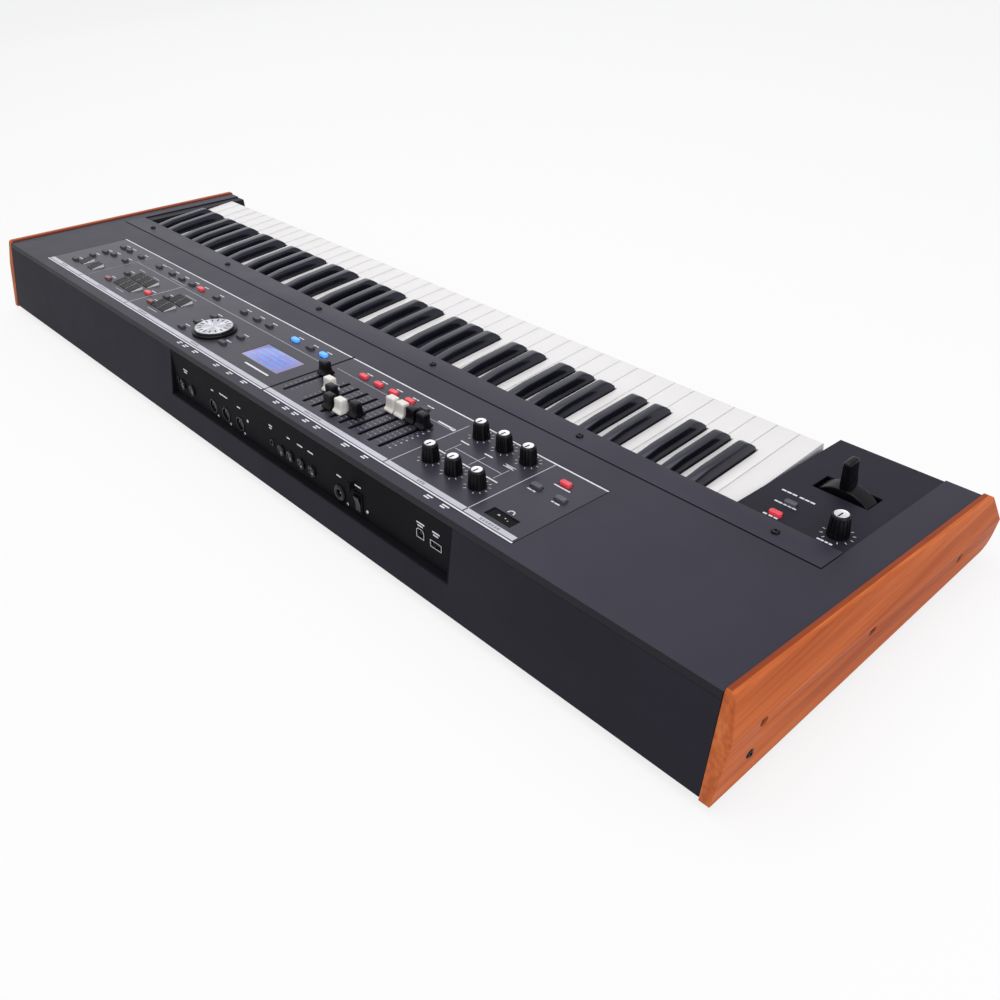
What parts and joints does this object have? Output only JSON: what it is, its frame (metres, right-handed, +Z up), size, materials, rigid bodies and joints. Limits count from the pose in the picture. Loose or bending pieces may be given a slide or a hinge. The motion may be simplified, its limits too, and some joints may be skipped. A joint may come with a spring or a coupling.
{
  "type": "combo organ",
  "caption": "Portable combo organ with a waterfall keyboard, drawbars, knobs, tabs, a display and a bender between two wooden cheeks.",
  "frame": {"origin": "on the floor, under the middle of the instrument", "axes": "+X along the width towards the treble end, +Y from the player to the jack bay, +Z up"},
  "size_m": [1.2102, 0.36, 0.1054],
  "materials": {
    "case_paint": "satin charcoal, almost black",
    "cherry_wood": "oiled cherry with straight grain",
    "ivory_keys": "polished white",
    "black_keys": "polished black",
    "black_plastic": "satin black",
    "white_plastic": "polished off-white",
    "grey_plastic": "matt dark grey",
    "red_plastic": "lit translucent red",
    "foot_rubber": "matt black",
    "dark_glass": "dark tinted",
    "blue_glass": "lit blue display",
    "silver_metal": "spun satin",
    "board_laminate": "green circuit board"
  },
  "bodies": {
    "case": {"bottom_case": "case_paint", "top_panel": "case_paint", "front_strip": "case_paint", "near_block": "case_paint", "far_block": "case_paint", "near_cheek": "cherry_wood", "far_cheek": "cherry_wood", "key_chassis": "case_paint", "upper_white_keys": "ivory_keys", "upper_black_keys": "black_keys", "jack_plate": "case_paint", "jack_board": "grey_plastic", "main_board": "board_laminate", "panel_board": "grey_plastic", "display_window": "blue_glass", "sensor_window": "dark_glass", "foot_front_near": "foot_rubber", "foot_front_far": "foot_rubber", "foot_rear_near": "foot_rubber", "foot_rear_far": "foot_rubber"},
    "key_e1": {"key_e1": "ivory_keys"},
    "key_f1": {"key_f1": "ivory_keys"},
    "key_g1": {"key_g1": "ivory_keys"},
    "key_a1": {"key_a1": "ivory_keys"},
    "key_b1": {"key_b1": "ivory_keys"},
    "key_c2": {"key_c2": "ivory_keys"},
    "key_d2": {"key_d2": "ivory_keys"},
    "key_f_sharp1": {"key_f_sharp1": "black_keys"},
    "key_g_sharp1": {"key_g_sharp1": "black_keys"},
    "key_a_sharp1": {"key_a_sharp1": "black_keys"},
    "key_c_sharp2": {"key_c_sharp2": "black_keys"},
    "key_d_sharp2": {"key_d_sharp2": "black_keys"},
    "drawbar_1": {"drawbar_1": "black_plastic"},
    "drawbar_2": {"drawbar_2": "black_plastic"},
    "drawbar_3": {"drawbar_3": "white_plastic"},
    "drawbar_4": {"drawbar_4": "white_plastic"},
    "drawbar_5": {"drawbar_5": "black_plastic"},
    "drawbar_6": {"drawbar_6": "white_plastic"},
    "drawbar_7": {"drawbar_7": "black_plastic"},
    "drawbar_8": {"drawbar_8": "black_plastic"},
    "drawbar_9": {"drawbar_9": "white_plastic"},
    "level_slider": {"level_slider": "black_plastic"},
    "fx_knob_1": {"fx_knob_1": "black_plastic"},
    "fx_knob_2": {"fx_knob_2": "black_plastic"},
    "fx_knob_3": {"fx_knob_3": "black_plastic"},
    "fx_knob_4": {"fx_knob_4": "black_plastic"},
    "fx_knob_5": {"fx_knob_5": "black_plastic"},
    "fx_knob_6": {"fx_knob_6": "black_plastic"},
    "volume_knob": {"volume_knob": "black_plastic"},
    "data_dial": {"data_dial": "silver_metal"},
    "bender_cradle": {"bender_cradle": "grey_plastic"},
    "bender_lever": {"bender_lever": "black_plastic"},
    "power_switch": {"power_switch": "black_plastic"},
    "effect_button_1": {"effect_button_1": "red_plastic"},
    "effect_button_2": {"effect_button_2": "red_plastic"},
    "effect_button_3": {"effect_button_3": "red_plastic"},
    "effect_button_4": {"effect_button_4": "red_plastic"},
    "sensor_button": {"sensor_button": "red_plastic"},
    "stop_button": {"stop_button": "red_plastic"},
    "speed_button": {"speed_button": "grey_plastic"}
  },
  "joints": [
    {"name": "key_e1_press", "type": "hinge", "parent": "case", "child": "key_e1", "pos_m": [-0.4473, 0.04632, 0.0536], "axis": [1, 0, 0], "range_deg": [0, 3], "stiffness_Nm_per_rad": 0.4, "springref_deg": -22.92},
    {"name": "key_f1_press", "type": "hinge", "parent": "case", "child": "key_f1", "pos_m": [-0.4238, 0.04632, 0.0536], "axis": [1, 0, 0], "range_deg": [0, 3], "stiffness_Nm_per_rad": 0.4, "springref_deg": -22.92},
    {"name": "key_g1_press", "type": "hinge", "parent": "case", "child": "key_g1", "pos_m": [-0.4003, 0.04632, 0.0536], "axis": [1, 0, 0], "range_deg": [0, 3], "stiffness_Nm_per_rad": 0.4, "springref_deg": -22.92},
    {"name": "key_a1_press", "type": "hinge", "parent": "case", "child": "key_a1", "pos_m": [-0.3768, 0.04632, 0.0536], "axis": [1, 0, 0], "range_deg": [0, 3], "stiffness_Nm_per_rad": 0.4, "springref_deg": -22.92},
    {"name": "key_b1_press", "type": "hinge", "parent": "case", "child": "key_b1", "pos_m": [-0.3533, 0.04632, 0.0536], "axis": [1, 0, 0], "range_deg": [0, 3], "stiffness_Nm_per_rad": 0.4, "springref_deg": -22.92},
    {"name": "key_c2_press", "type": "hinge", "parent": "case", "child": "key_c2", "pos_m": [-0.3298, 0.04632, 0.0536], "axis": [1, 0, 0], "range_deg": [0, 3], "stiffness_Nm_per_rad": 0.4, "springref_deg": -22.92},
    {"name": "key_d2_press", "type": "hinge", "parent": "case", "child": "key_d2", "pos_m": [-0.3063, 0.04632, 0.0536], "axis": [1, 0, 0], "range_deg": [0, 3], "stiffness_Nm_per_rad": 0.4, "springref_deg": -22.92},
    {"name": "key_f_sharp1_press", "type": "hinge", "parent": "case", "child": "key_f_sharp1", "pos_m": [-0.41534, 0.02832, 0.0661], "axis": [1, 0, 0], "range_deg": [0, 3], "stiffness_Nm_per_rad": 0.3, "springref_deg": -17.19},
    {"name": "key_g_sharp1_press", "type": "hinge", "parent": "case", "child": "key_g_sharp1", "pos_m": [-0.38855, 0.02832, 0.0661], "axis": [1, 0, 0], "range_deg": [0, 3], "stiffness_Nm_per_rad": 0.3, "springref_deg": -17.19},
    {"name": "key_a_sharp1_press", "type": "hinge", "parent": "case", "child": "key_a_sharp1", "pos_m": [-0.36176, 0.02832, 0.0661], "axis": [1, 0, 0], "range_deg": [0, 3], "stiffness_Nm_per_rad": 0.3, "springref_deg": -17.19},
    {"name": "key_c_sharp2_press", "type": "hinge", "parent": "case", "child": "key_c_sharp2", "pos_m": [-0.32052, 0.02832, 0.0661], "axis": [1, 0, 0], "range_deg": [0, 3], "stiffness_Nm_per_rad": 0.3, "springref_deg": -17.19},
    {"name": "key_d_sharp2_press", "type": "hinge", "parent": "case", "child": "key_d_sharp2", "pos_m": [-0.29208, 0.02832, 0.0661], "axis": [1, 0, 0], "range_deg": [0, 3], "stiffness_Nm_per_rad": 0.3, "springref_deg": -17.19},
    {"name": "drawbar_1_slide", "type": "slide", "parent": "case", "child": "drawbar_1", "axis": [0, -0.9952, -0.0976], "range_m": [-0.04702, 0.00048]},
    {"name": "drawbar_2_slide", "type": "slide", "parent": "case", "child": "drawbar_2", "axis": [0, -0.9952, -0.0976], "range_m": [-0.04702, 0.00048]},
    {"name": "drawbar_3_slide", "type": "slide", "parent": "case", "child": "drawbar_3", "axis": [0, -0.9952, -0.0976], "range_m": [-0.04702, 0.00048]},
    {"name": "drawbar_4_slide", "type": "slide", "parent": "case", "child": "drawbar_4", "axis": [0, -0.9952, -0.0976], "range_m": [-0.04702, 0.00048]},
    {"name": "drawbar_5_slide", "type": "slide", "parent": "case", "child": "drawbar_5", "axis": [0, -0.9952, -0.0976], "range_m": [-0.01615, 0.03135]},
    {"name": "drawbar_6_slide", "type": "slide", "parent": "case", "child": "drawbar_6", "axis": [0, -0.9952, -0.0976], "range_m": [-0.01045, 0.03705]},
    {"name": "drawbar_7_slide", "type": "slide", "parent": "case", "child": "drawbar_7", "axis": [0, -0.9952, -0.0976], "range_m": [-0.00855, 0.03895]},
    {"name": "drawbar_8_slide", "type": "slide", "parent": "case", "child": "drawbar_8", "axis": [0, -0.9952, -0.0976], "range_m": [-0.02043, 0.02708]},
    {"name": "drawbar_9_slide", "type": "slide", "parent": "case", "child": "drawbar_9", "axis": [0, -0.9952, -0.0976], "range_m": [-0.0285, 0.019]},
    {"name": "level_slider_slide", "type": "slide", "parent": "case", "child": "level_slider", "axis": [0, -0.9952, -0.0976], "range_m": [-0.0456, 0.0019]},
    {"name": "fx_knob_1_turn", "type": "hinge", "parent": "case", "child": "fx_knob_1", "pos_m": [-0.3062, 0.05482, 0.08233], "axis": [0, -0.0976, 0.9952], "range_deg": [-150, 150]},
    {"name": "fx_knob_2_turn", "type": "hinge", "parent": "case", "child": "fx_knob_2", "pos_m": [-0.3062, 0.11172, 0.08791], "axis": [0, -0.0976, 0.9952], "range_deg": [-150, 150]},
    {"name": "fx_knob_3_turn", "type": "hinge", "parent": "case", "child": "fx_knob_3", "pos_m": [-0.276, 0.05482, 0.08233], "axis": [0, -0.0976, 0.9952], "range_deg": [-150, 150]},
    {"name": "fx_knob_4_turn", "type": "hinge", "parent": "case", "child": "fx_knob_4", "pos_m": [-0.276, 0.11172, 0.08791], "axis": [0, -0.0976, 0.9952], "range_deg": [-150, 150]},
    {"name": "fx_knob_5_turn", "type": "hinge", "parent": "case", "child": "fx_knob_5", "pos_m": [-0.2458, 0.05482, 0.08233], "axis": [0, -0.0976, 0.9952], "range_deg": [-150, 150]},
    {"name": "fx_knob_6_turn", "type": "hinge", "parent": "case", "child": "fx_knob_6", "pos_m": [-0.2458, 0.11172, 0.08791], "axis": [0, -0.0976, 0.9952], "range_deg": [-150, 150]},
    {"name": "volume_knob_turn", "type": "hinge", "parent": "case", "child": "volume_knob", "pos_m": [-0.5427, -0.04154, 0.07138], "axis": [0, -0.0976, 0.9952], "range_deg": [-150, 150]},
    {"name": "data_dial_turn", "type": "hinge", "parent": "case", "child": "data_dial", "pos_m": [0.1313, 0.10852, 0.0876], "axis": [0, -0.0976, 0.9952], "continuous": true},
    {"name": "bender_cradle_push", "type": "hinge", "parent": "case", "child": "bender_cradle", "pos_m": [-0.51472, -0.09898, 0.03825], "axis": [-1, 0, 0], "range_deg": [0, 7], "stiffness_Nm_per_rad": 0.5, "springref_deg": -5.73},
    {"name": "bender_lever_swing", "type": "hinge", "parent": "bender_cradle", "child": "bender_lever", "pos_m": [-0.51472, -0.09898, 0.03825], "axis": [0, 1, 0], "range_deg": [-28, 28], "stiffness_Nm_per_rad": 0.2},
    {"name": "power_switch_rock", "type": "hinge", "parent": "case", "child": "power_switch", "pos_m": [-0.20473, 0.16203, 0.05119], "axis": [1, 0, 0], "range_deg": [0, 16]},
    {"name": "effect_button_1_press", "type": "slide", "parent": "case", "child": "effect_button_1", "axis": [0, 0.0976, -0.9952], "range_m": [0, 0.0008], "stiffness_N_per_m": 400, "springref_m": -0.002},
    {"name": "effect_button_2_press", "type": "slide", "parent": "case", "child": "effect_button_2", "axis": [0, 0.0976, -0.9952], "range_m": [0, 0.0008], "stiffness_N_per_m": 400, "springref_m": -0.002},
    {"name": "effect_button_3_press", "type": "slide", "parent": "case", "child": "effect_button_3", "axis": [0, 0.0976, -0.9952], "range_m": [0, 0.0008], "stiffness_N_per_m": 400, "springref_m": -0.002},
    {"name": "effect_button_4_press", "type": "slide", "parent": "case", "child": "effect_button_4", "axis": [0, 0.0976, -0.9952], "range_m": [0, 0.0008], "stiffness_N_per_m": 400, "springref_m": -0.002},
    {"name": "sensor_button_press", "type": "slide", "parent": "case", "child": "sensor_button", "axis": [0, 0.0976, -0.9952], "range_m": [0, 0.0008], "stiffness_N_per_m": 400, "springref_m": -0.002},
    {"name": "stop_button_press", "type": "slide", "parent": "case", "child": "stop_button", "axis": [0, 0.0976, -0.9952], "range_m": [0, 0.0008], "stiffness_N_per_m": 400, "springref_m": -0.002},
    {"name": "speed_button_press", "type": "slide", "parent": "case", "child": "speed_button", "axis": [0, 0.0976, -0.9952], "range_m": [0, 0.0008], "stiffness_N_per_m": 400, "springref_m": -0.002}
  ]
}
